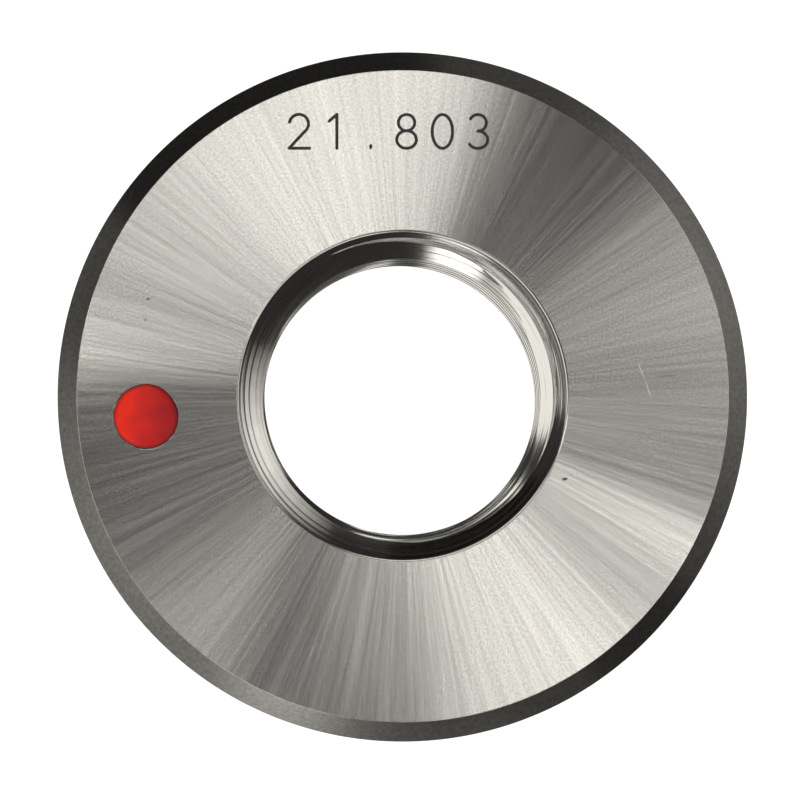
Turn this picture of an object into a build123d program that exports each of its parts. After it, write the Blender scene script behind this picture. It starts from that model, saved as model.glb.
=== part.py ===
from build123d import *
import os
from math import ceil, cos, radians, sin, tan

# Solid NOT GO thread ring gauge for M24 x 3 external threads: one turned, hardened and ground steel
# ring, with a dot of red enamel in its marked face. Millimetres.
# Origin: centre of the back face. +Z runs along the bore and out of the marked face.

# --- Ring blank ---
RING_DIAMETER = 53.0          # the blank size that rings for this thread are made from
RING_THICKNESS = 16.0
EDGE_CHAMFER = 1.5            # 45 degrees, on both outer edges

# --- Annular groove round the rim: the sign of a NOT GO ring that a finger can feel ---
RIM_GROOVE_WIDTH = 3.0
RIM_GROOVE_DEPTH = 0.6

# --- Thread, right hand: truncated 60 degree flanks, with a clearance groove at the root ---
PITCH = 3.0
PITCH_DIAMETER = 21.803       # of a NOT GO ring for tolerance grade 6g
FLANK_ANGLE = 30.0            # of each flank, from square to the axis
CREST_HEIGHT = 0.3            # from the pitch line in to the crest lands, a tenth of the pitch
ROOT_DEPTH = 1.25             # from the pitch line out to the floor of the clearance groove
CLEARANCE_WIDTH = 0.75        # of the clearance groove, a quarter of the pitch

# --- Countersinks at both mouths of the bore, 45 degrees ---
MOUTH_MARGIN = 0.5            # from the floor of the clearance groove out to the edge of the mouth

# --- Red dot: enamel run into a flat recess, with a slightly domed top ---
DOT_DIAMETER = 5.0
DOT_RECESS_DEPTH = 0.6
DOT_CROWN = 0.25              # height of the dome over the face
DOT_FROM_RIM = 6.74           # from the rim to the centre of the dot
DOT_ANGLE = 184.6             # degrees from +X, anticlockwise seen on the marked face

# --- Cutters ---
CUTTER_OVERLAP = 0.3          # how far a cutter reaches past the surface that it opens

RING_RADIUS = RING_DIAMETER / 2
PITCH_RADIUS = PITCH_DIAMETER / 2
CREST_RADIUS = PITCH_RADIUS - CREST_HEIGHT
ROOT_RADIUS = PITCH_RADIUS + ROOT_DEPTH
MOUTH_RADIUS = ROOT_RADIUS + MOUTH_MARGIN
DOT_RADIUS = DOT_DIAMETER / 2
DOT_X = (RING_RADIUS - DOT_FROM_RIM) * cos(radians(DOT_ANGLE))
DOT_Y = (RING_RADIUS - DOT_FROM_RIM) * sin(radians(DOT_ANGLE))


def ring_section():
    """Half section of the blank in the XZ plane, with its chamfers, countersinks and rim groove."""
    mouth_depth = MOUTH_RADIUS - CREST_RADIUS
    face_edge = RING_RADIUS - EDGE_CHAMFER
    groove_floor = RING_RADIUS - RIM_GROOVE_DEPTH
    groove_low = (RING_THICKNESS - RIM_GROOVE_WIDTH) / 2
    groove_high = groove_low + RIM_GROOVE_WIDTH
    outline = [
        (CREST_RADIUS, mouth_depth),
        (MOUTH_RADIUS, 0),
        (face_edge, 0),
        (RING_RADIUS, EDGE_CHAMFER),
        (RING_RADIUS, groove_low),
        (groove_floor, groove_low),
        (groove_floor, groove_high),
        (RING_RADIUS, groove_high),
        (RING_RADIUS, RING_THICKNESS - EDGE_CHAMFER),
        (face_edge, RING_THICKNESS),
        (MOUTH_RADIUS, RING_THICKNESS),
        (CREST_RADIUS, RING_THICKNESS - mouth_depth),
    ]
    return make_face(Plane.XZ * Polyline(*outline, close=True))


def groove_width(radius):
    """Width of the thread groove between its flanks: half the pitch on the pitch line, less outwards."""
    return PITCH / 2 - 2 * (radius - PITCH_RADIUS) * tan(radians(FLANK_ANGLE))


def turn_cutter():
    """One turn of the thread groove. Turns laid end to end along the axis cut the whole thread."""
    mouth = CREST_RADIUS - CUTTER_OVERLAP
    flank_end = PITCH_RADIUS + (PITCH / 2 - CLEARANCE_WIDTH) / (2 * tan(radians(FLANK_ANGLE)))
    half_mouth = groove_width(mouth) / 2
    half_floor = CLEARANCE_WIDTH / 2
    outline = [
        (mouth, -half_mouth),
        (flank_end, -half_floor),
        (ROOT_RADIUS, -half_floor),
        (ROOT_RADIUS, half_floor),
        (flank_end, half_floor),
        (mouth, half_mouth),
    ]
    section = make_face(Plane.XZ * Polyline(*outline, close=True))
    return sweep(section, path=Helix(PITCH, PITCH, PITCH_RADIUS), is_frenet=True)


def dot_recess():
    """Flat-bottomed recess for the enamel, open through the marked face."""
    floor = Pos(DOT_X, DOT_Y, RING_THICKNESS - DOT_RECESS_DEPTH)
    height = DOT_RECESS_DEPTH + CUTTER_OVERLAP
    return floor * Cylinder(DOT_RADIUS, height, align=(Align.CENTER, Align.CENTER, Align.MIN))


def gauge_ring():
    """The steel ring: the turned blank, with the thread and the recess for the dot cut into it."""
    ring = revolve(ring_section(), Axis.Z)
    cutter = turn_cutter()
    for turn in range(-1, ceil(RING_THICKNESS / PITCH) + 1):
        ring = ring.cut(Pos(0, 0, turn * PITCH) * cutter)
    return ring.cut(dot_recess())


def red_dot():
    """The enamel: a disc that fills the recess, under a shallow spherical dome."""
    dome_radius = (DOT_RADIUS**2 + DOT_CROWN**2) / (2 * DOT_CROWN)
    sides = Polyline((0, DOT_CROWN), (0, -DOT_RECESS_DEPTH), (DOT_RADIUS, -DOT_RECESS_DEPTH), (DOT_RADIUS, 0))
    dome = RadiusArc((DOT_RADIUS, 0), (0, DOT_CROWN), -dome_radius)
    section = make_face(Plane.XZ * (sides + dome))
    return Pos(DOT_X, DOT_Y, RING_THICKNESS) * revolve(section, Axis.Z)


os.makedirs("parts", exist_ok=True)
export_step(gauge_ring(), "parts/gauge_ring.step")
export_step(red_dot(), "parts/red_dot.step")
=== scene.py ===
from math import cos, pi, radians, sin, tan

import bmesh
import bpy
from bpy.props import FloatProperty, FloatVectorProperty, IntProperty, PointerProperty, StringProperty
from mathutils import Matrix, Vector


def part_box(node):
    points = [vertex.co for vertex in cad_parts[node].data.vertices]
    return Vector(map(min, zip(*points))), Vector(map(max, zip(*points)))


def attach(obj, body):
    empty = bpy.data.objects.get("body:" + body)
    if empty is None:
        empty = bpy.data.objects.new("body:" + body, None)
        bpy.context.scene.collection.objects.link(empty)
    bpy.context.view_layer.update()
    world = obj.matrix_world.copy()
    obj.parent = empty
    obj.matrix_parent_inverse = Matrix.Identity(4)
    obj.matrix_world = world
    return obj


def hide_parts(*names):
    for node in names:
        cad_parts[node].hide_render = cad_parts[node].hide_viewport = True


bl_info = {
    "name": "Solid Thread Ring Gauge",
    "version": (1, 0, 0),
    "blender": (4, 5, 0),
    "location": "View3D > Sidebar > Ring Gauge",
    "description": "Builds a NOT GO thread ring gauge, its ground steel and red enamel, and a small studio",
    "category": "Add Mesh",
}

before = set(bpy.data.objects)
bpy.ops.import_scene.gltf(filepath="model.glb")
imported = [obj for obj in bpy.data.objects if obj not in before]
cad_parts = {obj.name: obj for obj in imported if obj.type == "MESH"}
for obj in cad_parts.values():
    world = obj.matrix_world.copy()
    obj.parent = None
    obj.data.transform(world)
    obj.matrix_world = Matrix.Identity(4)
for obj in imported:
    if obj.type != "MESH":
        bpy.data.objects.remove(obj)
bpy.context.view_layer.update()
RING_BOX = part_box("gauge_ring")
DOT_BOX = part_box("red_dot")

MM = 0.001
BOX_MARGIN = 0.0005 * MM       # keeps the rim inside the CAD's box
DOT_RADIUS = (DOT_BOX[1][0] - DOT_BOX[0][0]) / 2
RING_RADIUS = min(RING_BOX[1][0], RING_BOX[1][1], -RING_BOX[0][0], -RING_BOX[0][1]) - BOX_MARGIN
FACE_HEIGHT = RING_BOX[1][2]

# modelling
MERGE_DISTANCE = 0.001 * MM
SQUARE_TO_AXIS = 0.99          # height of a face's unit normal, over which the face lies flat
ALONG_AXIS = 0.01              # and under which it stands upright
SHARP_CORNER = radians(30)     # bend past which a corner of the blank is rounded
FLANK_CORNER = radians(11)     # bend past which a corner of lapped steel is shaded sharp
PILOT_ALLOWANCE = 0.8 * MM     # steel left in the pilot bore for the thread to be cut from
SINK_STEPS = 8                 # cones that make up the crown of a countersink
RUN_OUT = 1.0 * MM             # how far the thread's core reaches past both faces
DOME_STEPS = 12                # rings of flats from the edge of the drop to its top
DIGIT_WIDTH = 0.62             # of its height
CAP_ANGLES = (0.5, 1.0, 1.5)   # in radians, of the rings that round off the ends of an engraved cut

# circular grinding of the marked face
MID_FACE = 19 * MM             # radius at which the grit marks run truly round the bore
GRIT_LEAN = radians(5)         # how far they lean at LEAN_REACH from there
LEAN_REACH = 8.5 * MM
LEAN_SIDE = (-cos(radians(45)), -sin(radians(45)), 0)    # the side where they lean most
LEAN_ALL_ROUND = 0.3           # share of the lean that every side has
STREAK_WIDTH = 0.32 * MM
SWELL_WIDTH = 0.34 * MM
SWELL_HEIGHT = 0.0005 * MM
SPOKE_DRIFT = 1.1              # makes a streak change over some 15 mm of its length
GRAIN_WIDTH = 0.16 * MM
NOISE_LOW, NOISE_HIGH = 0.35, 0.65                       # most of a noise lies between these

# stage
FLOOR_SIZE = 4.0
FLAG_FOOT = 0.5 * MM           # how far the cards stand clear of the floor
FLAG_STEPS = 48


def colour(code):
    """Linear colour of an sRGB hex code."""
    parts = [int(code[place:place + 2], 16) / 255 for place in (0, 2, 4)]
    return [part / 12.92 if part <= 0.04045 else ((part + 0.055) / 1.055) ** 2.4 for part in parts] + [1]


# --------------------------------------------------------------------------------------------
# Sizes, colours, camera and room light that a user would change
# --------------------------------------------------------------------------------------------

class RingSizes(bpy.types.PropertyGroup):
    """Sizes of the turned ring"""

    radius: FloatProperty(
        name="Rim Radius", description="Outer radius of the ring",
        default=RING_RADIUS, unit="LENGTH", precision=5)
    thickness: FloatProperty(
        name="Thickness", description="From the back face to the marked face",
        default=FACE_HEIGHT - RING_BOX[0][2], unit="LENGTH", precision=5)
    chamfer: FloatProperty(
        name="Edge Chamfer", description="45 degree chamfer on both outer edges",
        default=1.5 * MM, unit="LENGTH", precision=5)
    groove_width: FloatProperty(
        name="Rim Groove Width", description="Width of the groove round the rim",
        default=3 * MM, unit="LENGTH", precision=5)
    groove_depth: FloatProperty(
        name="Rim Groove Depth", description="Depth of the groove round the rim",
        default=0.6 * MM, unit="LENGTH", precision=5)
    mouth_margin: FloatProperty(
        name="Mouth Margin", description="From the floor of the thread out to the edge of the countersink",
        default=0.5 * MM, unit="LENGTH", precision=5)
    mouth_slope: FloatProperty(
        name="Mouth Slope", description="Slope of the countersink at its mouth",
        default=radians(38), subtype="ANGLE")
    throat_slope: FloatProperty(
        name="Throat Slope", description="Slope of the countersink at the crests of the thread",
        default=radians(44), subtype="ANGLE")
    edge_break: FloatProperty(
        name="Edge Break", description="Width of the rounding that stoning leaves on each edge",
        default=0.04 * MM, unit="LENGTH", precision=5)
    mouth_wear: FloatProperty(
        name="Mouth Wear", description="Width of the rounding that lapping leaves on the two mouths",
        default=0.12 * MM, unit="LENGTH", precision=5)
    facets: IntProperty(
        name="Facets", description="Flats round the ring", default=360, min=24)


class ThreadSizes(bpy.types.PropertyGroup):
    """Sizes of the ring's right-hand thread"""

    pitch: FloatProperty(
        name="Pitch", description="Advance in one turn", default=3 * MM, unit="LENGTH", precision=5)
    pitch_radius: FloatProperty(
        name="Pitch Radius", description="Half the pitch diameter",
        default=10.9015 * MM, unit="LENGTH", precision=5)
    crest_height: FloatProperty(
        name="Crest Height", description="From the pitch line in to the crests",
        default=0.3 * MM, unit="LENGTH", precision=5)
    root_depth: FloatProperty(
        name="Root Depth", description="From the pitch line out to the floor of the clearance groove",
        default=1.25 * MM, unit="LENGTH", precision=5)
    clearance_width: FloatProperty(
        name="Clearance Width", description="Width of the clearance groove",
        default=0.75 * MM, unit="LENGTH", precision=5)
    flank_angle: FloatProperty(
        name="Flank Angle", description="Lean of each flank from square to the axis",
        default=radians(30), subtype="ANGLE")
    steps: IntProperty(
        name="Steps", description="Flats in one turn of the thread", default=360, min=24)
    flat_shift: FloatProperty(
        name="Flat Shift", description="How far the thread's flats are turned from the blank's",
        default=radians(0.37), subtype="ANGLE")


class MarkingSizes(bpy.types.PropertyGroup):
    """The engraved number"""

    number: StringProperty(
        name="Number", description="Number to engrave, of the digits 0, 1, 2, 3 and 8 and the point",
        default="21.803")
    height: FloatProperty(
        name="Height", description="Height of the digits",
        default=2.6 * MM, unit="LENGTH", precision=5)
    advance: FloatProperty(
        name="Advance", description="From one digit to the next",
        default=2.75 * MM, unit="LENGTH", precision=5)
    stroke: FloatProperty(
        name="Stroke", description="Width of the engraver's cut",
        default=0.24 * MM, unit="LENGTH", precision=5)
    centre: FloatVectorProperty(
        name="Centre", description="Middle of the number on the marked face", size=2,
        default=(-1.1 * MM, 20.3 * MM), unit="LENGTH", precision=5)


class DotSizes(bpy.types.PropertyGroup):
    """The drop of red enamel"""

    radius: FloatProperty(
        name="Radius", description="Radius of the drop", default=DOT_RADIUS, unit="LENGTH", precision=5)
    crown: FloatProperty(
        name="Crown", description="Height of the drop over the face",
        default=DOT_BOX[1][2] - FACE_HEIGHT, unit="LENGTH", precision=5)
    unevenness: FloatProperty(
        name="Unevenness", description="Most that the edge of the drop falls short of its round",
        default=0.12 * MM, unit="LENGTH", precision=5)
    facets: IntProperty(
        name="Facets", description="Flats round the drop", default=96, min=12)


class FinishColours(bpy.types.PropertyGroup):
    """Colours of the finishes"""

    steel_dull: FloatVectorProperty(
        name="Dull Streaks", description="Ground steel in its duller streaks", subtype="COLOR", size=4,
        default=colour("B4B1AA"))
    steel_bright: FloatVectorProperty(
        name="Bright Streaks", description="Ground steel in its brighter streaks", subtype="COLOR", size=4,
        default=colour("D6D3CC"))
    # the next and the last enamel colours are painted shade and painted light: the drop is drawn darker on
    # its right and lighter on its left, as a lit dome would be
    enamel_painted_shade: FloatVectorProperty(
        name="Enamel In Painted Shade", description="Enamel on the right of the drop, as painted shade", subtype="COLOR", size=4,
        default=colour("A0181D"))
    enamel: FloatVectorProperty(
        name="Enamel", description="Enamel over most of the drop", subtype="COLOR", size=4,
        default=colour("CA2622"))
    enamel_painted_light: FloatVectorProperty(
        name="Enamel In Painted Light", description="Enamel on the left of the drop, as painted light", subtype="COLOR", size=4,
        default=colour("F8301F"))


class StageSettings(bpy.types.PropertyGroup):
    """Camera and the room's light"""

    distance: FloatProperty(
        name="Camera Distance", description="From the marked face to the camera",
        default=625 * MM, unit="LENGTH", precision=4)
    field: FloatProperty(
        name="Field", description="Width of the marked face's plane that the camera takes in",
        default=61.3 * MM, unit="LENGTH", precision=5)
    tilt: FloatProperty(
        name="Tilt", description="Lean of the line of sight from the bore's axis",
        default=radians(2.0), subtype="ANGLE")
    tilt_azimuth: FloatProperty(
        name="Tilt Azimuth", description="Side that the camera leans to, anticlockwise from +X",
        default=radians(237), subtype="ANGLE")
    aim: FloatVectorProperty(
        name="Aim", description="Point of the marked face in the middle of the picture", size=2,
        default=(-0.23 * MM, -0.31 * MM), unit="LENGTH", precision=5)
    world: FloatProperty(
        name="World", description="Brightness of the room round the lamps", default=0.035, min=0)


# --------------------------------------------------------------------------------------------
# Small tools for modelling
# --------------------------------------------------------------------------------------------

def deselect_all():
    """Leave nothing selected, so that an operator acts on the new primitive alone."""
    bpy.ops.object.select_all(action="DESELECT")


def draw_section(name, points):
    """Draw a section in the XZ plane: a small plane is merged to one point, which is then extruded from
    corner to corner."""
    deselect_all()
    x, z = points[0]
    bpy.ops.mesh.primitive_plane_add(size=MM, location=(x, 0, z))
    piece = bpy.context.object
    piece.name = name
    piece.data.name = name
    bpy.ops.object.mode_set(mode="EDIT")
    bpy.ops.mesh.select_mode(type="VERT")
    bpy.ops.mesh.select_all(action="SELECT")
    bpy.ops.mesh.merge(type="CENTER")
    for next_x, next_z in points[1:]:
        bpy.ops.mesh.extrude_vertices_move(TRANSFORM_OT_translate={"value": (next_x - x, 0, next_z - z)})
        x, z = next_x, next_z
    bpy.ops.object.mode_set(mode="OBJECT")
    bpy.ops.object.transform_apply(location=True, rotation=True, scale=True)
    return piece


def turn_section(piece, steps):
    """Turn the section once round the bore's axis, and close it. The piece is left in edit mode."""
    bpy.ops.object.mode_set(mode="EDIT")
    bpy.ops.mesh.select_all(action="SELECT")
    bpy.ops.mesh.spin(steps=steps, angle=2 * pi, center=(0, 0, 0), axis=(0, 0, 1))
    clean_mesh()


def clean_mesh():
    """Merge what lies on itself, drop loose edges, and turn all the faces outwards."""
    bpy.ops.mesh.select_mode(type="VERT")
    bpy.ops.mesh.select_all(action="SELECT")
    bpy.ops.mesh.remove_doubles(threshold=MERGE_DISTANCE)
    bpy.ops.mesh.dissolve_degenerate(threshold=MERGE_DISTANCE)
    bpy.ops.mesh.select_all(action="SELECT")
    bpy.ops.mesh.delete_loose()
    bpy.ops.mesh.select_all(action="SELECT")
    bpy.ops.mesh.normals_make_consistent(inside=False)


def pick(piece, kind, test):
    """Select in edit mode just the vertices, edges or faces whose test is true."""
    bpy.ops.mesh.select_mode(type=kind)
    bpy.ops.mesh.select_all(action="DESELECT")
    mesh = bmesh.from_edit_mesh(piece.data)
    mesh.normal_update()
    for item in {"VERT": mesh.verts, "EDGE": mesh.edges, "FACE": mesh.faces}[kind]:
        if test(item):
            item.select_set(True)
    bmesh.update_edit_mesh(piece.data)


def close_piece(piece, smooth_angle):
    """Leave edit mode with the place in the mesh, and smooth all but the sharp edges. Broad faces are
    shaded flat up to the narrow ones beside them."""
    bpy.ops.object.mode_set(mode="OBJECT")
    deselect_all()
    piece.select_set(True)
    bpy.context.view_layer.objects.active = piece
    bpy.ops.object.transform_apply(location=True, rotation=True, scale=True)
    bpy.ops.object.shade_smooth_by_angle(angle=smooth_angle)
    weighted = piece.modifiers.new("Weighted Normals", "WEIGHTED_NORMAL")
    weighted.keep_sharp = True
    bpy.ops.object.modifier_apply(modifier=weighted.name)


def cut(piece, cutter):
    """Cut one closed mesh out of another, with the cutter's material on the new walls. The cutter is
    deleted."""
    deselect_all()
    bpy.context.view_layer.objects.active = piece
    boolean = piece.modifiers.new("Cut", "BOOLEAN")
    boolean.operation = "DIFFERENCE"
    boolean.solver = "EXACT"
    boolean.material_mode = "TRANSFER"
    boolean.object = cutter
    bpy.ops.object.modifier_apply(modifier=boolean.name)
    bpy.data.objects.remove(cutter)


# --------------------------------------------------------------------------------------------
# Steel ring
# --------------------------------------------------------------------------------------------

def mouth_radius(ring, thread):
    """Radius of the countersinks' mouths, which stand clear of the floor of the thread."""
    return thread.pitch_radius + thread.root_depth + ring.mouth_margin


def ring_stations(ring, thread):
    """Radius and height of each corner of the blank's section, from the back mouth out, up and round to
    the pilot bore."""
    pilot = thread.pitch_radius - thread.crest_height - PILOT_ALLOWANCE
    mouth = mouth_radius(ring, thread)
    sink = countersink(mouth, pilot, ring.mouth_slope, ring.throat_slope)
    rim = ring.radius
    top = ring.thickness
    groove_low = (top - ring.groove_width) / 2
    groove_high = (top + ring.groove_width) / 2
    return [
        (mouth, 0),
        (rim - ring.chamfer, 0),
        (rim, ring.chamfer),
        (rim, groove_low),
        (rim - ring.groove_depth, groove_low),
        (rim - ring.groove_depth, groove_high),
        (rim, groove_high),
        (rim, top - ring.chamfer),
        (rim - ring.chamfer, top),
        *((radius, top - depth) for radius, depth in sink),
        *((radius, depth) for radius, depth in reversed(sink)),
    ]


def countersink(mouth, pilot, mouth_slope, throat_slope):
    """Radius and depth of points down a countersink, which lapping has crowned from the one slope to the
    other."""
    points = [(mouth, 0)]
    width = (mouth - pilot) / SINK_STEPS
    for step in range(SINK_STEPS):
        slope = mouth_slope + (throat_slope - mouth_slope) * (step + 0.5) / SINK_STEPS
        radius, depth = points[-1]
        points.append((radius - width, depth + width * tan(slope)))
    return points


def break_edges(piece, ring, mouth, lapped):
    """Round the corners of the two mouths, which the lap has worn, and then stone the corners outside
    them. The pilot bore keeps its corners, because the thread takes them away."""
    pick(piece, "EDGE", lambda edge: is_round_corner(edge)
         and abs(edge.verts[0].co.xy.length - mouth) < MERGE_DISTANCE)
    bpy.ops.mesh.bevel(offset=ring.mouth_wear, segments=4, profile=0.5, affect="EDGES",
                       material=piece.data.materials.find(lapped.name))
    pick(piece, "EDGE", lambda edge: is_round_corner(edge) and edge.verts[0].co.xy.length > mouth)
    bpy.ops.mesh.bevel(offset=ring.edge_break, segments=2, profile=0.5, affect="EDGES")


def is_round_corner(edge):
    """True for a sharp corner that runs round the ring at one height and radius."""
    a, b = (vertex.co for vertex in edge.verts)
    level = abs(a.z - b.z) < MERGE_DISTANCE and abs(a.xy.length - b.xy.length) < MERGE_DISTANCE
    return level and edge.calc_face_angle(0) > SHARP_CORNER


def thread_core(ring, thread):
    """What the threaded bore leaves out: one pitch of its section, screwed up through the ring."""
    crest = thread.pitch_radius - thread.crest_height
    root = thread.pitch_radius + thread.root_depth
    slope = tan(thread.flank_angle)
    half_pitch = thread.pitch / 2
    half_mouth = thread.pitch / 4 + thread.crest_height * slope
    half_floor = thread.clearance_width / 2
    flank_end = crest + (half_mouth - half_floor) / slope
    piece = draw_section("thread_core", [
        (crest, -half_pitch),
        (crest, -half_mouth),
        (flank_end, -half_floor),
        (root, -half_floor),
        (root, half_floor),
        (flank_end, half_floor),
        (crest, half_mouth),
        (crest, half_pitch),
    ])
    turns_below = 1
    screw = piece.modifiers.new("Screw", "SCREW")
    screw.axis = "Z"
    screw.screw_offset = thread.pitch
    screw.iterations = int(ring.thickness / thread.pitch) + 2 + turns_below
    screw.steps = screw.render_steps = thread.steps
    bpy.ops.object.modifier_apply(modifier=screw.name)
    bpy.ops.object.mode_set(mode="EDIT")
    clean_mesh()
    # the flats are turned a little along the same helix, so that none lies on a flat of the blank;
    # without a window this operator turns clockwise
    shift = thread.flat_shift
    bpy.ops.transform.rotate(value=-shift, orient_axis="Z", center_override=(0, 0, 0))
    bpy.ops.transform.translate(value=(0, 0, thread.pitch * (shift / (2 * pi) - turns_below)))
    for height, direction in ((-RUN_OUT, -1), (ring.thickness + RUN_OUT, 1)):
        bpy.ops.mesh.select_all(action="SELECT")
        bpy.ops.mesh.bisect(plane_co=(0, 0, height), plane_no=(0, 0, direction), use_fill=True,
                            clear_outer=True, threshold=MERGE_DISTANCE)
    clean_mesh()
    bpy.ops.object.mode_set(mode="OBJECT")
    return piece


# --------------------------------------------------------------------------------------------
# Engraved number
# --------------------------------------------------------------------------------------------

def arc(x, y, rx, ry, start, end, points=24):
    """Points of an elliptic arc, in digit heights and degrees."""
    angles = [radians(start + (end - start) * step / points) for step in range(points + 1)]
    return [(x + rx * cos(angle), y + ry * sin(angle)) for angle in angles]


def digit_strokes(character):
    """Pen strokes of a single-line digit, one high and DIGIT_WIDTH wide, from its lower left corner. A
    full round stops 10 degrees short, and its cut is joined up."""
    return {
        "0": [arc(0.31, 0.5, 0.30, 0.5, 0, 350, 35)],
        "1": [[(0.14, 0.80), (0.37, 1.0)], [(0.37, 1.0), (0.37, 0.0)]],
        "2": [arc(0.31, 0.72, 0.28, 0.28, 170, -35), [(0.54, 0.56), (0.02, 0.0)],
              [(0.02, 0.0), (0.62, 0.0)]],
        "3": [arc(0.30, 0.755, 0.25, 0.245, 150, -90), arc(0.30, 0.255, 0.29, 0.255, 90, -150)],
        "8": [arc(0.31, 0.76, 0.24, 0.24, 0, 350, 35), arc(0.31, 0.26, 0.29, 0.26, 0, 350, 35)],
        ".": [[(0.31, 0.02), (0.31, 0.08)]],
    }[character]


def stroke_cutter(points, width):
    """One cut of the engraver's tool: a round-ended tube that is sunk half into the face."""
    closed = len(points) > 2 and (points[0] - points[-1]).length < width
    curve = bpy.data.curves.new("stroke_cutter", "CURVE")
    curve.dimensions = "3D"
    curve.bevel_depth = width / 2
    curve.bevel_resolution = 3
    curve.use_fill_caps = True
    spline = curve.splines.new("POLY")
    sizes = [1.0] * len(points)
    if not closed:
        for end, inner in ((0, 1), (-1, -2)):
            along = (points[end] - points[inner]).normalized() * width / 2
            places = [points[end] + along * sin(angle) for angle in CAP_ANGLES]
            widths = [cos(angle) for angle in CAP_ANGLES]
            points = [*reversed(places), *points] if end == 0 else [*points, *places]
            sizes = [*reversed(widths), *sizes] if end == 0 else [*sizes, *widths]
    spline.points.add(len(points) - 1)
    for point, place, size in zip(spline.points, points, sizes):
        point.co = (*place, 1)
        point.radius = size
    spline.use_cyclic_u = closed
    piece = bpy.data.objects.new("stroke_cutter", curve)
    bpy.context.collection.objects.link(piece)
    deselect_all()
    piece.select_set(True)
    bpy.context.view_layer.objects.active = piece
    bpy.ops.object.convert(target="MESH")
    return bpy.context.object


def engrave(piece, marking, black):
    """Engrave the number into the marked face, stroke by stroke."""
    middle, level = marking.centre
    left = middle - marking.advance * (len(marking.number) - 1) / 2 - DIGIT_WIDTH * marking.height / 2
    bottom = level - marking.height / 2
    for place, character in enumerate(marking.number):
        corner = Vector((left + place * marking.advance, bottom, FACE_HEIGHT))
        for stroke in digit_strokes(character):
            points = [corner + Vector((x, y, 0)) * marking.height for x, y in stroke]
            cutter = stroke_cutter(points, marking.stroke)
            cutter.data.materials.append(black)
            cut(piece, cutter)


# --------------------------------------------------------------------------------------------
# Materials
# --------------------------------------------------------------------------------------------

def add_node(tree, kind, inputs=None, **settings):
    """Add a node with its settings. An input that is given a socket is linked, any other is set. A Mix
    node of colours takes its factor as input 0 and its two colours as 6 and 7."""
    node = tree.nodes.new(kind)
    for name, value in settings.items():
        setattr(node, name, value)
    for name, value in (inputs or {}).items():
        if isinstance(value, bpy.types.NodeSocket):
            tree.links.new(value, node.inputs[name])
        else:
            node.inputs[name].default_value = value
    return node


def new_material(name):
    """An empty node material and its tree."""
    material = bpy.data.materials.new(name)
    material.use_nodes = True
    material.node_tree.nodes.clear()
    return material, material.node_tree


def flatten(tree, place):
    """A place with its height left out, and how far that is from the middle."""
    flat = add_node(tree, "ShaderNodeVectorMath", {0: place, 1: (1, 1, 0)}, operation="MULTIPLY").outputs[0]
    reach = add_node(tree, "ShaderNodeVectorMath", {0: flat}, operation="LENGTH").outputs["Value"]
    return flat, reach


# specks of rust, scratches, and the painted glints of two scratches on the marked face: place, half
# length and half width in millimetres, turn in degrees, colour, and how much of the steel it hides
SPECKS_SCRATCHES_AND_GLINTS = [
    (-19.53, 7.43, 0.16, 0.13, 20, "3B3630", 0.85),
    (-19.75, 5.82, 0.12, 0.10, 70, "3B3630", 0.75),
    (12.40, -6.36, 0.26, 0.15, 15, "26221E", 0.95),
    # the next two are painted glints: near white stands in for the light that a scratch across the lay
    # catches
    (18.27, 1.95, 0.85, 0.06, -66, "FBFAF6", 0.75),
    (18.80, 0.50, 0.80, 0.06, -72, "FBFAF6", 0.75),
    (20.20, 1.55, 0.95, 0.08, 3, "77736C", 0.45),
]


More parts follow.
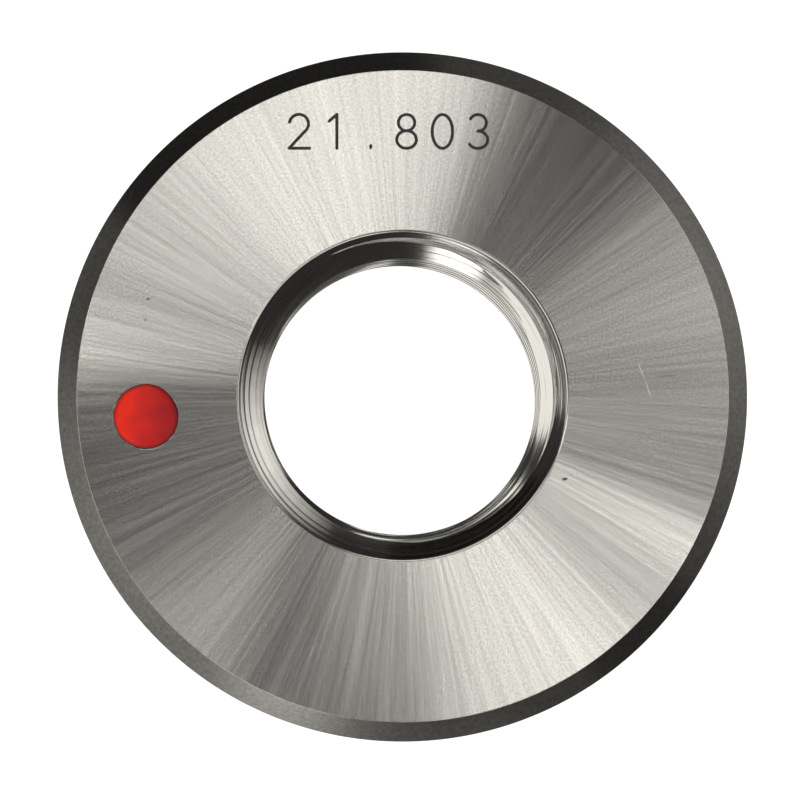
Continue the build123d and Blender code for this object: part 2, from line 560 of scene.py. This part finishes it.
def ground_steel(finish):
    """Hardened tool steel, ground flat on a turntable: fine rings of grit marks round the bore, which
    throw a fan of light and dark spokes, with hair-fine streaks where the wheel chattered."""
    material, tree = new_material("circular_ground_tool_steel")
    place = add_node(tree, "ShaderNodeTexCoord").outputs["Object"]
    flat, reach = flatten(tree, place)
    outward = add_node(tree, "ShaderNodeVectorMath", {0: flat}, operation="NORMALIZE").outputs[0]
    across = lay_direction(tree, outward, reach)
    # the streaks run outwards across the whole face; the grit marks themselves, of some 0.01 mm, are too
    # fine to show and are left to the anisotropy
    lift = add_node(tree, "ShaderNodeCombineXYZ", {"Z": reach}).outputs[0]
    spoke = add_node(tree, "ShaderNodeVectorMath", {0: lift, 1: (0, 0, SPOKE_DRIFT), 2: outward},
                     operation="MULTIPLY_ADD").outputs[0]
    streaks = add_node(tree, "ShaderNodeTexNoise", {
        "Vector": spoke, "Scale": MID_FACE / STREAK_WIDTH, "Detail": 2.0, "Roughness": 0.6}).outputs["Fac"]
    swell = add_node(tree, "ShaderNodeTexNoise", {
        "Vector": spoke, "Scale": MID_FACE / SWELL_WIDTH, "Detail": 2.0}).outputs["Fac"]
    grain = add_node(tree, "ShaderNodeTexNoise", {
        "Vector": place, "Scale": 1 / GRAIN_WIDTH, "Detail": 1.0}).outputs["Fac"]
    bump = add_node(tree, "ShaderNodeBump", {
        "Height": swell, "Strength": 1.0, "Distance": SWELL_HEIGHT}).outputs["Normal"]
    dullness = add_node(tree, "ShaderNodeMapRange", {
        "Value": streaks, "From Min": NOISE_LOW, "From Max": NOISE_HIGH,
        "To Min": 0.174, "To Max": 0.189}).outputs[0]
    mixed = add_node(tree, "ShaderNodeMath", {0: streaks, 1: grain}, operation="ADD").outputs[0]
    tone = add_node(tree, "ShaderNodeMapRange", {
        "Value": mixed, "From Min": 2 * NOISE_LOW, "From Max": 2 * NOISE_HIGH}).outputs[0]
    tint = add_node(tree, "ShaderNodeMix", {
        0: tone, 6: finish.steel_dull, 7: finish.steel_bright}, data_type="RGBA").outputs[2]
    # the specks and scratches, with two painted glints among them
    for speck_scratch_or_glint in SPECKS_SCRATCHES_AND_GLINTS:
        tint = mark_speck_scratch_or_glint(tree, place, tint, *speck_scratch_or_glint)
    shader = add_node(tree, "ShaderNodeBsdfPrincipled", {
        "Base Color": tint, "Metallic": 1.0, "Roughness": dullness, "Anisotropic": 1.0,
        "Tangent": across, "Normal": bump})
    add_node(tree, "ShaderNodeOutputMaterial", {"Surface": shader.outputs[0]})
    return material


def lay_direction(tree, outward, reach):
    """The direction across the grit marks. They wander off their centre towards one side, so they lean
    one way by the bore and the other way by the rim."""
    side = add_node(tree, "ShaderNodeVectorMath", {0: outward, 1: LEAN_SIDE},
                    operation="DOT_PRODUCT").outputs["Value"]
    wander = add_node(tree, "ShaderNodeMath", {0: side, 1: LEAN_ALL_ROUND}, operation="ADD").outputs[0]
    inward = add_node(tree, "ShaderNodeMath", {0: MID_FACE, 1: reach}, operation="SUBTRACT").outputs[0]
    lean = add_node(tree, "ShaderNodeMath", {0: inward, 1: wander}, operation="MULTIPLY").outputs[0]
    lean = add_node(tree, "ShaderNodeMath", {0: lean, 1: GRIT_LEAN / LEAN_REACH},
                    operation="MULTIPLY").outputs[0]
    return add_node(tree, "ShaderNodeVectorRotate", {"Vector": outward, "Angle": lean},
                    rotation_type="Z_AXIS").outputs[0]


def mark_speck_scratch_or_glint(tree, place, tint, x, y, half_length, half_width, turn, code, strength):
    """Lay one speck, scratch or painted glint over the tint of the steel, with a soft edge."""
    depth = 4 * MM             # below the marked face, well short of the back face
    local = add_node(tree, "ShaderNodeMapping", {
        "Vector": place, "Location": (x * MM, y * MM, FACE_HEIGHT), "Rotation": (0, 0, radians(turn)),
        "Scale": (half_length * MM, half_width * MM, depth)}, vector_type="TEXTURE").outputs[0]
    away = add_node(tree, "ShaderNodeVectorMath", {0: local}, operation="LENGTH").outputs["Value"]
    mark = add_node(tree, "ShaderNodeMapRange", {
        "Value": away, "From Min": 1.0, "From Max": 0.4, "To Max": strength}).outputs[0]
    return add_node(tree, "ShaderNodeMix", {
        0: mark, 6: tint, 7: colour(code)}, data_type="RGBA").outputs[2]


def turned_steel():
    """The same steel as the lathe left it on the chamfers and in the groove: satin, with a faint mottle
    in place of the tool marks, which are too fine to show."""
    material, tree = new_material("turned_tool_steel")
    place = add_node(tree, "ShaderNodeTexCoord").outputs["Object"]
    mottle = add_node(tree, "ShaderNodeTexNoise", {
        "Vector": place, "Scale": 1 / (0.3 * MM), "Detail": 2.0, "Roughness": 0.7}).outputs["Fac"]
    tint = add_node(tree, "ShaderNodeMix", {
        0: mottle, 6: colour("6E6C66"), 7: colour("B8B5AE")}, data_type="RGBA").outputs[2]
    shader = add_node(tree, "ShaderNodeBsdfPrincipled", {
        "Base Color": tint, "Metallic": 1.0, "Roughness": 0.28})
    add_node(tree, "ShaderNodeOutputMaterial", {"Surface": shader.outputs[0]})
    return material


def rim_steel():
    """The rim, ground between centres: bright, with fine lines round it that draw highlights upright."""
    material, tree = new_material("cylindrical_ground_tool_steel")
    place = add_node(tree, "ShaderNodeTexCoord").outputs["Object"]
    # the lines are drawn 0.2 mm wide and 6 mm long, coarser than real, so that they show
    width, length = 0.2 * MM, 6 * MM
    stretched = add_node(tree, "ShaderNodeVectorMath", {0: place, 1: (1, 1, length / width)},
                         operation="MULTIPLY").outputs[0]
    lines = add_node(tree, "ShaderNodeTexNoise", {
        "Vector": stretched, "Scale": 1 / length, "Detail": 2.0}).outputs["Fac"]
    tint = add_node(tree, "ShaderNodeMix", {
        0: lines, 6: colour("A9A69F"), 7: colour("D2CFC8")}, data_type="RGBA").outputs[2]
    upright = add_node(tree, "ShaderNodeCombineXYZ", {"Z": 1.0}).outputs[0]
    shader = add_node(tree, "ShaderNodeBsdfPrincipled", {
        "Base Color": tint, "Metallic": 1.0, "Roughness": 0.3, "Anisotropic": 0.8, "Tangent": upright})
    add_node(tree, "ShaderNodeOutputMaterial", {"Surface": shader.outputs[0]})
    return material


def lapped_steel():
    """The thread and the countersinks, lapped with fine paste: nearly a mirror, with the faint rings
    that the lap leaves."""
    material, tree = new_material("lapped_tool_steel")
    place = add_node(tree, "ShaderNodeTexCoord").outputs["Object"]
    reach = flatten(tree, place)[1]
    height = add_node(tree, "ShaderNodeSeparateXYZ", {0: place}).outputs["Z"]
    profile = add_node(tree, "ShaderNodeCombineXYZ", {"X": reach, "Y": height}).outputs[0]
    # the rings are drawn 0.3 mm wide, coarser than real, so that they show
    rings = add_node(tree, "ShaderNodeTexNoise", {
        "Vector": profile, "Scale": 1 / (0.3 * MM), "Detail": 1.0}).outputs["Fac"]
    bump = add_node(tree, "ShaderNodeBump", {
        "Height": rings, "Strength": 1.0, "Distance": 0.025 * MM}).outputs["Normal"]
    shader = add_node(tree, "ShaderNodeBsdfPrincipled", {
        "Base Color": colour("BDBAB3"), "Metallic": 1.0, "Roughness": 0.15, "Normal": bump})
    add_node(tree, "ShaderNodeOutputMaterial", {"Surface": shader.outputs[0]})
    return material


def engraving_black():
    """A dark, dull colour in the engraved cuts, so that the number stays dark from every side."""
    material, tree = new_material("dark_engraved_cuts")
    shader = add_node(tree, "ShaderNodeBsdfPrincipled", {
        "Base Color": colour("3A3733"), "Metallic": 0.0, "Roughness": 0.7})
    add_node(tree, "ShaderNodeOutputMaterial", {"Surface": shader.outputs[0]})
    return material


def red_enamel(finish, dot):
    """Signal red stoving enamel, laid on as one drop. Its colour holds painted light and shade: lighter on
    the left and darker on the right, as a dome lit from the left would be, under a random cloudy tone, and
    a painted shade that darkens it towards its rim."""
    material, tree = new_material("red_stoving_enamel")
    place = add_node(tree, "ShaderNodeTexCoord").outputs["Object"]
    centred = add_node(tree, "ShaderNodeMapping", {
        "Vector": place, "Location": -dot_centre() / dot.radius,
        "Scale": Vector((1, 1, 1)) / dot.radius}).outputs[0]
    flat, reach = flatten(tree, centred)
    # painted light and shade: the drop is drawn lighter towards this side, its left, and darker towards its
    # right, as a dome lit from the left; the cloud adds random tone
    painted_light_side = (-0.99, 0.1, 0)
    run = add_node(tree, "ShaderNodeVectorMath", {0: flat, 1: painted_light_side},
                   operation="DOT_PRODUCT").outputs["Value"]
    cloud = add_node(tree, "ShaderNodeTexNoise", {
        "Vector": centred, "Scale": 1.6, "Detail": 1.0}).outputs["Fac"]
    cloud_and_painted_light = add_node(tree, "ShaderNodeMath", {0: cloud, 1: run}, operation="ADD").outputs[0]
    painted_light_and_cloud = add_node(tree, "ShaderNodeMapRange", {
        "Value": cloud_and_painted_light, "From Min": -0.35, "From Max": 1.15}).outputs[0]
    ramp = add_node(tree, "ShaderNodeValToRGB", {"Fac": painted_light_and_cloud})
    stops = ramp.color_ramp.elements
    stops[0].position, stops[0].color = 0.0, finish.enamel_painted_shade
    stops[1].position, stops[1].color = 1.0, finish.enamel_painted_light
    stops.new(0.5).color = finish.enamel
    # painted shade: the drop is darkened over its outer seventh towards its rim
    rim = add_node(tree, "ShaderNodeMapRange", {
        "Value": reach, "From Min": 0.86, "From Max": 1.0, "To Max": 0.75}).outputs[0]
    tint = add_node(tree, "ShaderNodeMix", {
        0: rim, 6: ramp.outputs["Color"], 7: colour("5A0E10")}, data_type="RGBA").outputs[2]
    shader = add_node(tree, "ShaderNodeBsdfPrincipled", {
        "Base Color": tint, "Roughness": 0.4, "Specular IOR Level": 0.15})
    add_node(tree, "ShaderNodeOutputMaterial", {"Surface": shader.outputs[0]})
    return material


# --------------------------------------------------------------------------------------------
# Operators
# --------------------------------------------------------------------------------------------

class OBJECT_OT_gauge_steel_ring(bpy.types.Operator):
    """Turn, thread, engrave and grind the steel ring"""

    bl_idname = "object.gauge_steel_ring"
    bl_label = "Steel Ring"
    bl_options = {"REGISTER", "UNDO"}

    def execute(self, context):
        ring = context.scene.ring_sizes
        thread = context.scene.thread_sizes
        dot = context.scene.dot_sizes
        piece = draw_section("steel_ring", ring_stations(ring, thread))
        ground = ground_steel(context.scene.finish_colours)
        turned, rim, lapped, black = turned_steel(), rim_steel(), lapped_steel(), engraving_black()
        for material in (turned, ground, rim, lapped, black):
            piece.data.materials.append(material)
        turn_section(piece, ring.facets)
        mouth = mouth_radius(ring, thread)
        pick(piece, "FACE", lambda face: abs(face.normal.z) > SQUARE_TO_AXIS)
        assign(piece, ground)
        pick(piece, "FACE", lambda face: abs(face.normal.z) < ALONG_AXIS
             and face.verts[0].co.xy.length > ring.radius - MERGE_DISTANCE)
        assign(piece, rim)
        pick(piece, "FACE", lambda face: face.calc_center_median().xy.length < mouth - MERGE_DISTANCE)
        assign(piece, lapped)
        break_edges(piece, ring, mouth, lapped)
        bpy.ops.object.mode_set(mode="OBJECT")
        core = thread_core(ring, thread)
        core.data.materials.append(lapped)
        cut(piece, core)
        cut(piece, recess_cutter(dot))
        stone_recess(piece, dot, ring.edge_break)
        engrave(piece, context.scene.marking_sizes, black)
        sharpen_flanks(piece, lapped)
        close_piece(piece, radians(25))
        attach(piece, "root")
        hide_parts("gauge_ring")
        return {"FINISHED"}


def stone_recess(piece, dot, width):
    """Stone the edge of the recess, as the blank's own edges were."""
    bpy.ops.object.mode_set(mode="EDIT")
    pick(piece, "EDGE", lambda edge: all(
        abs((vertex.co - dot_centre()).length - dot.radius) < MERGE_DISTANCE for vertex in edge.verts))
    bpy.ops.mesh.bevel(offset=width, segments=2, profile=0.5, affect="EDGES")
    bpy.ops.object.mode_set(mode="OBJECT")


def sharpen_flanks(piece, lapped):
    """Mark the edges of the thread as sharp, also where a flank meets a countersink at only some 14
    degrees. The piece is left in edit mode."""
    bpy.ops.object.mode_set(mode="EDIT")
    clean_mesh()
    slot = piece.data.materials.find(lapped.name)
    pick(piece, "EDGE", lambda edge: edge.calc_face_angle(0) > FLANK_CORNER
         and all(face.material_index == slot for face in edge.link_faces))
    bpy.ops.mesh.mark_sharp()


def recess_cutter(dot):
    """The flat recess that the enamel is run into."""
    deselect_all()
    low = DOT_BOX[0][2]
    depth = 2 * (FACE_HEIGHT - low)
    centre = dot_centre()
    bpy.ops.mesh.primitive_cylinder_add(
        vertices=dot.facets, radius=dot.radius, depth=depth, location=(centre.x, centre.y, low + depth / 2))
    return bpy.context.object


def dot_centre():
    """Middle of the red dot on the marked face."""
    middle = (Vector(DOT_BOX[0]) + Vector(DOT_BOX[1])) / 2
    return Vector((middle.x, middle.y, FACE_HEIGHT))


def assign(piece, material):
    """Give the selected faces one of the piece's materials."""
    piece.active_material_index = piece.data.materials.find(material.name)
    bpy.ops.object.material_slot_assign()


class OBJECT_OT_gauge_red_drop(bpy.types.Operator):
    """Fill the recess in the marked face with red enamel"""

    bl_idname = "object.gauge_red_drop"
    bl_label = "Red Drop"
    bl_options = {"REGISTER", "UNDO"}

    def execute(self, context):
        dot = context.scene.dot_sizes
        low = DOT_BOX[0][2] - FACE_HEIGHT
        turns = [step * pi / 2 / DOME_STEPS for step in range(DOME_STEPS + 1)]
        dome = [(dot.radius * cos(turn), dot.crown * sin(turn)) for turn in turns]
        piece = draw_section("red_drop", [(0, low), (dot.radius, low), *dome])
        turn_section(piece, dot.facets)
        bpy.ops.transform.translate(value=dot_centre())
        shrink_edge(piece, dot)
        close_piece(piece, radians(40))
        piece.data.materials.append(red_enamel(context.scene.finish_colours, dot))
        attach(piece, "root")
        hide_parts("red_dot")
        return {"FINISHED"}


def shrink_edge(piece, dot):
    """Draw the edge of the drop in unevenly, always inside its round. Leaves edit mode."""
    edge_band = 0.9            # share of the radius where the edge begins
    pick(piece, "VERT", lambda vertex: (vertex.co - dot_centre()).xy.length > edge_band * dot.radius)
    bpy.ops.object.vertex_group_add()
    bpy.ops.object.vertex_group_assign()
    bpy.ops.object.mode_set(mode="OBJECT")
    uneven = bpy.data.textures.new("uneven_edge", "CLOUDS")
    uneven.noise_scale = 1.1 * MM
    uneven.noise_depth = 0
    shrink = piece.modifiers.new("Uneven Edge", "DISPLACE")
    shrink.texture = uneven
    shrink.texture_coords = "LOCAL"
    shrink.strength = dot.unevenness
    shrink.mid_level = 1.0
    shrink.vertex_group = piece.vertex_groups.active.name
    bpy.ops.object.modifier_apply(modifier=shrink.name)


# name, azimuth and lean from the bore's axis in degrees, distance, width and height in millimetres,
# roll in degrees, brightness of its surface

# overhead, for the spokes of light on the ground face
NEAR_LAMPS = [
    ("strip_back", 81.3, 11.9, 300, 19.4, 63.2, 1.6, 2.70),
    ("panel_back", 107.1, 8.4, 300, 30.1, 42.4, -2.9, 3.05),
    ("panel_back_left", 148.4, 12.9, 300, 42.9, 50.5, 34.8, 1.32),
    ("strip_left", 161.8, 20.0, 300, 15.8, 51.0, -18.1, 5.94),
    ("strip_front_left", 226.5, 9.2, 300, 13.2, 50.7, 18.8, 2.18),
    ("panel_front_left", 249.8, 17.0, 300, 48.6, 36.6, 3.9, 1.42),
    ("panel_front", 310.8, 9.2, 300, 30.4, 43.3, 33.8, 3.35),
    ("panel_front_right", 326.5, 14.7, 300, 45.3, 39.9, 35.6, 0.91),
    ("strip_right", 339.8, 16.6, 300, 13.1, 50.6, 2.3, 5.65),
    ("panel_right", 17.9, 15.7, 300, 64.4, 76.6, 23.9, 1.05),
    ("sliver_right", 24, 14, 300, 4, 66, 0, 0.8),
]
# soft fills from the sides, for the enamel, the number and the flanks of the thread
WIDE_LAMPS = [
    ("fill_front_left", 216, 49, 500, 860, 280, 0, 1.6),
    ("fill_back", 110, 43, 500, 540, 190, 0, 2.0),
    ("fill_right", 15, 44, 500, 380, 190, 0, 1.3),
    ("fill_front", 310, 43, 500, 460, 190, 0, 2.0),
]
# near the horizon, for the countersink: windows that fade at their ends, because each is a stack of
# lamps, every one wider than the one before it and a millimetre further off
LOW_LAMPS = [
    *((f"window_front_left_{step}", 249, 80.5, 482 + step, 110 + 50 * step, 100, 0, 1.2)
      for step in range(3)),
    ("window_left_high", 212, 77, 500, 760, 70, 0, 0.4),
    *((f"window_left_{step}", 208, 82.5, 488 + step, 140 + 150 * step, 42, 0, 0.5) for step in range(5)),
    *((f"window_right_{step}", 22, 81, 490 + step, 160 + 125 * step, 110, 0, 0.26) for step in range(6)),
]

# cards round the ring: name, start and end in degrees, radius and height in millimetres, tone
FLAGS = [
    ("flag_back", 84, 146, 75, 40, "080808"),
    ("flag_back_left", 146, 174, 75, 16, "B0B0B0"),
    ("flag_left", 174, 272, 75, 13, "F4F4F4"),
    ("flag_front_left", 272, 290, 75, 14, "E0E0E0"),
    ("flag_front", 290, 306, 75, 20, "909090"),
    ("flag_front_middle", 306, 328, 75, 30, "404040"),
    ("flag_front_right", 328, 340, 75, 20, "909090"),
    ("flag_right", -20, 52, 75, 14, "B0B0B0"),
    ("flag_back_right", 52, 84, 75, 18, "808080"),
]


def add_lamp(name, azimuth, lean, distance, width, height, roll, brightness):
    """An area lamp that faces the marked face, hidden from the camera."""
    azimuth, lean = radians(azimuth), radians(lean)
    outward = Vector((sin(lean) * cos(azimuth), sin(lean) * sin(azimuth), cos(lean)))
    across = Vector((-sin(azimuth), cos(azimuth), 0))
    lamp = bpy.data.lights.new(name, "AREA")
    lamp.shape = "RECTANGLE"
    lamp.size = width * MM
    lamp.size_y = height * MM
    lamp.energy = brightness * pi * lamp.size * lamp.size_y
    holder = bpy.data.objects.new(name, lamp)
    bpy.context.collection.objects.link(holder)
    turn = Matrix((across, outward.cross(across), outward)).transposed()
    turn = turn @ Matrix.Rotation(radians(roll), 3, "Z")
    place = Vector((0, 0, FACE_HEIGHT)) + outward * distance * MM
    holder.matrix_world = Matrix.Translation(place) @ turn.to_4x4()
    holder.visible_camera = False


def add_flag(name, start, end, radius, height, tone):
    """A curved card on the floor, which keeps the pale floor out of the chamfer and the countersink. It
    is seen in reflections alone."""
    flag = draw_section(name, [(radius * MM, FLAG_FOOT), (radius * MM, height * MM)])
    bpy.ops.object.mode_set(mode="EDIT")
    bpy.ops.mesh.select_all(action="SELECT")
    bpy.ops.mesh.spin(steps=FLAG_STEPS, angle=radians(end - start), center=(0, 0, 0), axis=(0, 0, -1))
    bpy.ops.mesh.select_all(action="SELECT")
    bpy.ops.transform.rotate(value=-radians(start), orient_axis="Z", center_override=(0, 0, 0))
    bpy.ops.object.mode_set(mode="OBJECT")
    material, tree = new_material(name + "_card")
    shader = add_node(tree, "ShaderNodeBsdfDiffuse", {"Color": colour(tone)})
    add_node(tree, "ShaderNodeOutputMaterial", {"Surface": shader.outputs[0]})
    flag.data.materials.append(material)
    flag.visible_camera = False
    flag.visible_diffuse = False
    flag.visible_shadow = False


class OBJECT_OT_gauge_stage(bpy.types.Operator):
    """Add the floor, the lamps and the camera"""

    bl_idname = "object.gauge_stage"
    bl_label = "Stage"
    bl_options = {"REGISTER", "UNDO"}

    def execute(self, context):
        stage = context.scene.stage_settings
        add_floor()
        add_world(stage)
        for lamp in NEAR_LAMPS + WIDE_LAMPS + LOW_LAMPS:
            add_lamp(*lamp)
        for flag in FLAGS:
            add_flag(*flag)
        add_camera(context.scene, stage)
        return {"FINISHED"}


def add_floor():
    """A pale table top, much wider than the ring. The camera sees it as plain white, and reflections in
    its own tone."""
    deselect_all()
    bpy.ops.mesh.primitive_plane_add(size=FLOOR_SIZE, location=(0, 0, 0))
    floor = bpy.context.object
    floor.name = "floor"
    material, tree = new_material("pale_table_laminate")
    seen = add_node(tree, "ShaderNodeLightPath")
    matte = add_node(tree, "ShaderNodeBsdfDiffuse", {"Color": colour("A0A09E")})
    white = add_node(tree, "ShaderNodeEmission", {"Color": (1, 1, 1, 1), "Strength": 1.0})
    both = add_node(tree, "ShaderNodeAddShader", {0: matte.outputs[0], 1: white.outputs[0]})
    mix = add_node(tree, "ShaderNodeMixShader", {
        0: seen.outputs["Is Camera Ray"], 1: matte.outputs[0], 2: both.outputs[0]})
    add_node(tree, "ShaderNodeOutputMaterial", {"Surface": mix.outputs[0]})
    material.cycles.emission_sampling = "NONE"
    floor.data.materials.append(material)


def add_world(stage):
    """A plain dim room, white where the camera looks past the floor."""
    world = bpy.data.worlds.new("studio_room")
    bpy.context.scene.world = world
    world.use_nodes = True
    tree = world.node_tree
    tree.nodes.clear()
    seen = add_node(tree, "ShaderNodeLightPath")
    room = add_node(tree, "ShaderNodeBackground", {"Color": (1, 1, 1, 1), "Strength": stage.world})
    white = add_node(tree, "ShaderNodeBackground", {"Color": (1, 1, 1, 1), "Strength": 1.0})
    mix = add_node(tree, "ShaderNodeMixShader", {
        0: seen.outputs["Is Camera Ray"], 1: room.outputs[0], 2: white.outputs[0]})
    add_node(tree, "ShaderNodeOutputWorld", {"Surface": mix.outputs[0]})


def add_camera(scene, stage):
    """A long lens over the marked face, with the engraved number at the top of the picture."""
    lens = bpy.data.cameras.new("camera")
    lens.sensor_width = 36
    lens.lens = lens.sensor_width * stage.distance / stage.field
    camera = bpy.data.objects.new("camera", lens)
    bpy.context.collection.objects.link(camera)
    aim = Vector((*stage.aim, FACE_HEIGHT))
    lean = sin(stage.tilt)
    back = Vector((lean * cos(stage.tilt_azimuth), lean * sin(stage.tilt_azimuth), cos(stage.tilt)))
    right = Vector((0, 1, 0)).cross(back).normalized()
    turn = Matrix((right, back.cross(right), back)).transposed()
    camera.matrix_world = Matrix.Translation(aim + back * stage.distance) @ turn.to_4x4()
    lens.clip_start = 0.01
    lens.clip_end = 10
    scene.camera = camera


# --------------------------------------------------------------------------------------------
# Panel and registration
# --------------------------------------------------------------------------------------------

class VIEW3D_PT_ring_gauge(bpy.types.Panel):
    """Buttons that build the gauge and its stage, and the sizes they use"""

    bl_idname = "VIEW3D_PT_ring_gauge"
    bl_label = "Thread Ring Gauge"
    bl_space_type = "VIEW_3D"
    bl_region_type = "UI"
    bl_category = "Ring Gauge"

    def draw(self, context):
        for operator in OPERATORS:
            self.layout.operator(operator.bl_idname)
        for name, group in SETTINGS.items():
            box = self.layout.box()
            box.label(text=group.__doc__)
            for setting in group.__annotations__:
                box.prop(getattr(context.scene, name), setting)


SETTINGS = {
    "ring_sizes": RingSizes,
    "thread_sizes": ThreadSizes,
    "marking_sizes": MarkingSizes,
    "dot_sizes": DotSizes,
    "finish_colours": FinishColours,
    "stage_settings": StageSettings,
}
OPERATORS = (OBJECT_OT_gauge_steel_ring, OBJECT_OT_gauge_red_drop, OBJECT_OT_gauge_stage)


def register():
    """Register the classes, and hang the settings on the scene."""
    for name, group in SETTINGS.items():
        bpy.utils.register_class(group)
        setattr(bpy.types.Scene, name, PointerProperty(type=group))
    for operator in OPERATORS:
        bpy.utils.register_class(operator)
    bpy.utils.register_class(VIEW3D_PT_ring_gauge)


def unregister():
    """Undo all that register does, last things first."""
    bpy.utils.unregister_class(VIEW3D_PT_ring_gauge)
    for operator in reversed(OPERATORS):
        bpy.utils.unregister_class(operator)
    for name, group in reversed(SETTINGS.items()):
        delattr(bpy.types.Scene, name)
        bpy.utils.unregister_class(group)


def main():
    """Build the gauge and its stage."""
    register()
    bpy.ops.object.gauge_steel_ring()
    bpy.ops.object.gauge_red_drop()
    bpy.ops.object.gauge_stage()
    bpy.context.scene.view_settings.view_transform = "Standard"


if __name__ == "__main__":
    main()
